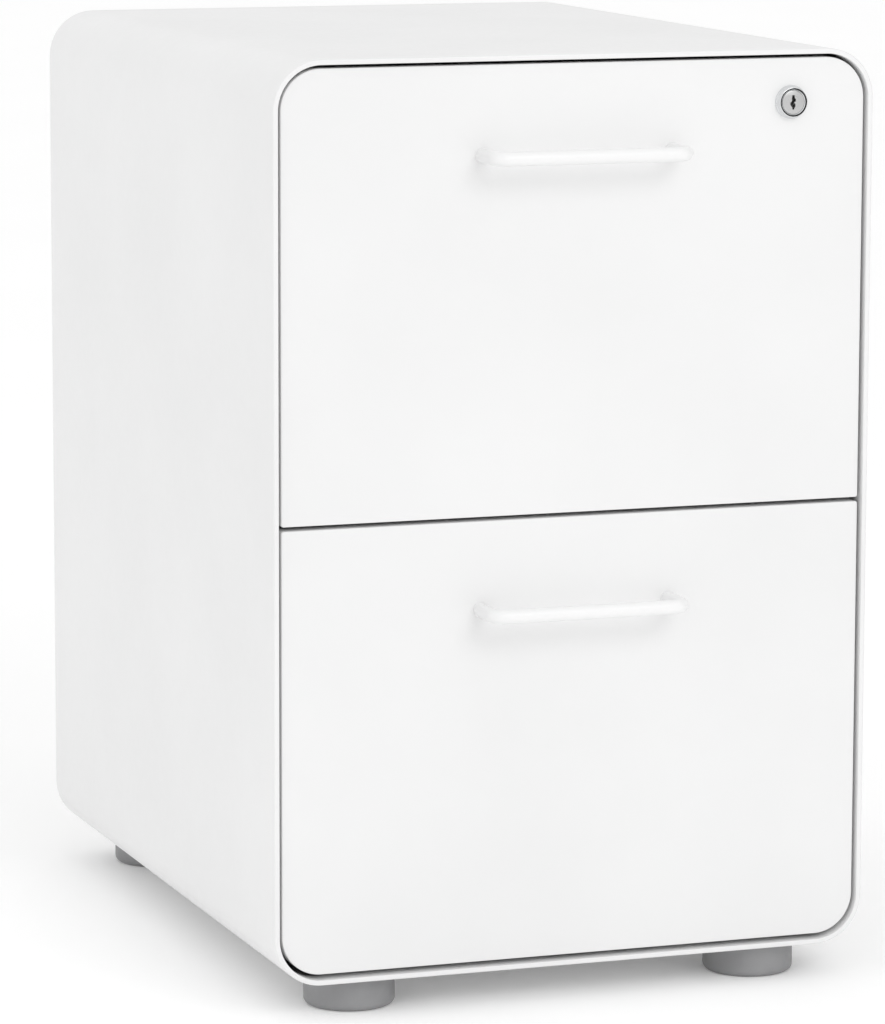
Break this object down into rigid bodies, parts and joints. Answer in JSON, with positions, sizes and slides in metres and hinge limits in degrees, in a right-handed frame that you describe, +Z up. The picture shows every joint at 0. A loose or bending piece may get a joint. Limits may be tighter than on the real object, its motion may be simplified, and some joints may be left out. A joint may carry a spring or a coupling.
{
  "type": "filing cabinet",
  "caption": "Steel filing cabinet with rounded case corners, stacked full-extension drawers, rod handles, a cylinder lock and round feet.",
  "frame": {"origin": "on the floor, at the centre of the footprint that the case and the handles cover together", "axes": "+Z up; the drawer fronts face -Y; +X is the viewer's right when facing the fronts"},
  "size_m": [0.394, 0.536, 0.594],
  "materials": {
    "cabinet_paint": "satin powder coat, white",
    "handle_paint": "semi-gloss powder coat, white",
    "foot_plastic": "matte moulded, grey",
    "rubber": "matte black",
    "chrome": "polished plating",
    "lock_metal": "satin nickel",
    "zinc_steel": "bright zinc plate",
    "screw_steel": "zinc plated",
    "ball_steel": "polished balls in a plated strip"
  },
  "bodies": {
    "case": {"back_panel": "cabinet_paint", "back_panel_screws": "screw_steel", "case_shell": "cabinet_paint", "centre_rail": "zinc_steel", "foot_nuts": "screw_steel", "foot_screws": "screw_steel", "front_base_channel": "zinc_steel", "front_left_foot": "foot_plastic", "front_left_upright": "zinc_steel", "front_right_foot": "foot_plastic", "front_right_upright": "zinc_steel", "lock_bar_guides": "zinc_steel", "lower_left_slide_outer": "zinc_steel", "lower_right_slide_outer": "zinc_steel", "rear_base_channel": "zinc_steel", "rear_left_foot": "foot_plastic", "rear_left_upright": "zinc_steel", "rear_right_foot": "foot_plastic", "rear_right_upright": "zinc_steel", "slide_bumpers": "rubber", "slide_screws": "screw_steel", "upper_left_slide_outer": "zinc_steel", "upper_right_slide_outer": "zinc_steel"},
    "upper_drawer": {"lock_housing": "chrome", "lock_nut": "lock_metal", "upper_drawer_back": "cabinet_paint", "upper_drawer_tray": "cabinet_paint", "upper_file_rails": "zinc_steel", "upper_front_panel": "cabinet_paint", "upper_handle": "handle_paint", "upper_handle_screws": "screw_steel", "upper_inner_front": "cabinet_paint", "upper_left_slide_inner": "zinc_steel", "upper_lock_catch": "zinc_steel", "upper_right_slide_inner": "zinc_steel", "upper_tray_screws": "screw_steel"},
    "lower_drawer": {"lower_drawer_back": "cabinet_paint", "lower_drawer_tray": "cabinet_paint", "lower_file_rails": "zinc_steel", "lower_front_panel": "cabinet_paint", "lower_handle": "handle_paint", "lower_handle_screws": "screw_steel", "lower_inner_front": "cabinet_paint", "lower_left_slide_inner": "zinc_steel", "lower_lock_catch": "zinc_steel", "lower_right_slide_inner": "zinc_steel", "lower_tray_screws": "screw_steel"},
    "upper_slide_middles": {"upper_left_slide_middle": "zinc_steel", "upper_right_slide_middle": "zinc_steel"},
    "lower_slide_middles": {"lower_left_slide_middle": "zinc_steel", "lower_right_slide_middle": "zinc_steel"},
    "upper_outer_cages": {"upper_outer_ball_cages": "ball_steel"},
    "upper_inner_cages": {"upper_inner_ball_cages": "ball_steel"},
    "lower_outer_cages": {"lower_outer_ball_cages": "ball_steel"},
    "lower_inner_cages": {"lower_inner_ball_cages": "ball_steel"},
    "lock_cylinder": {"lock_cam": "lock_metal", "lock_cam_screw": "lock_metal", "lock_plug": "lock_metal"},
    "lock_slide_bar": {"lock_bar": "zinc_steel"}
  },
  "joints": [
    {"name": "upper_drawer_slide", "type": "slide", "parent": "case", "child": "upper_drawer", "axis": [0, -1, 0], "range_m": [0, 0.42]},
    {"name": "lower_drawer_slide", "type": "slide", "parent": "case", "child": "lower_drawer", "axis": [0, -1, 0], "range_m": [0, 0.42]},
    {"name": "upper_slide_middles_slide", "type": "slide", "parent": "case", "child": "upper_slide_middles", "axis": [0, -1, 0], "range_m": [0, 0.21]},
    {"name": "upper_outer_cages_slide", "type": "slide", "parent": "case", "child": "upper_outer_cages", "axis": [0, -1, 0], "range_m": [0, 0.105]},
    {"name": "upper_inner_cages_slide", "type": "slide", "parent": "case", "child": "upper_inner_cages", "axis": [0, -1, 0], "range_m": [0, 0.315]},
    {"name": "lower_slide_middles_slide", "type": "slide", "parent": "case", "child": "lower_slide_middles", "axis": [0, -1, 0], "range_m": [0, 0.21]},
    {"name": "lower_outer_cages_slide", "type": "slide", "parent": "case", "child": "lower_outer_cages", "axis": [0, -1, 0], "range_m": [0, 0.105]},
    {"name": "lower_inner_cages_slide", "type": "slide", "parent": "case", "child": "lower_inner_cages", "axis": [0, -1, 0], "range_m": [0, 0.315]},
    {"name": "lock_bar_slide", "type": "slide", "parent": "case", "child": "lock_slide_bar", "axis": [0, 0, 1], "range_m": [0, 0.01]},
    {"name": "lock_turn", "type": "hinge", "parent": "upper_drawer", "child": "lock_cylinder", "pos_m": [0.142, -0.2335, 0.56105], "axis": [0, -1, 0], "range_deg": [0, 90]}
  ],
  "couplings": [
    {"joint": "upper_slide_middles_slide", "follows": "upper_drawer_slide", "ratio": 0.5},
    {"joint": "upper_outer_cages_slide", "follows": "upper_drawer_slide", "ratio": 0.25},
    {"joint": "upper_inner_cages_slide", "follows": "upper_drawer_slide", "ratio": 0.75},
    {"joint": "lower_slide_middles_slide", "follows": "lower_drawer_slide", "ratio": 0.5},
    {"joint": "lower_outer_cages_slide", "follows": "lower_drawer_slide", "ratio": 0.25},
    {"joint": "lower_inner_cages_slide", "follows": "lower_drawer_slide", "ratio": 0.75},
    {"joint": "lock_turn", "follows": "lock_bar_slide", "rad_per_m": 157.08}
  ]
}
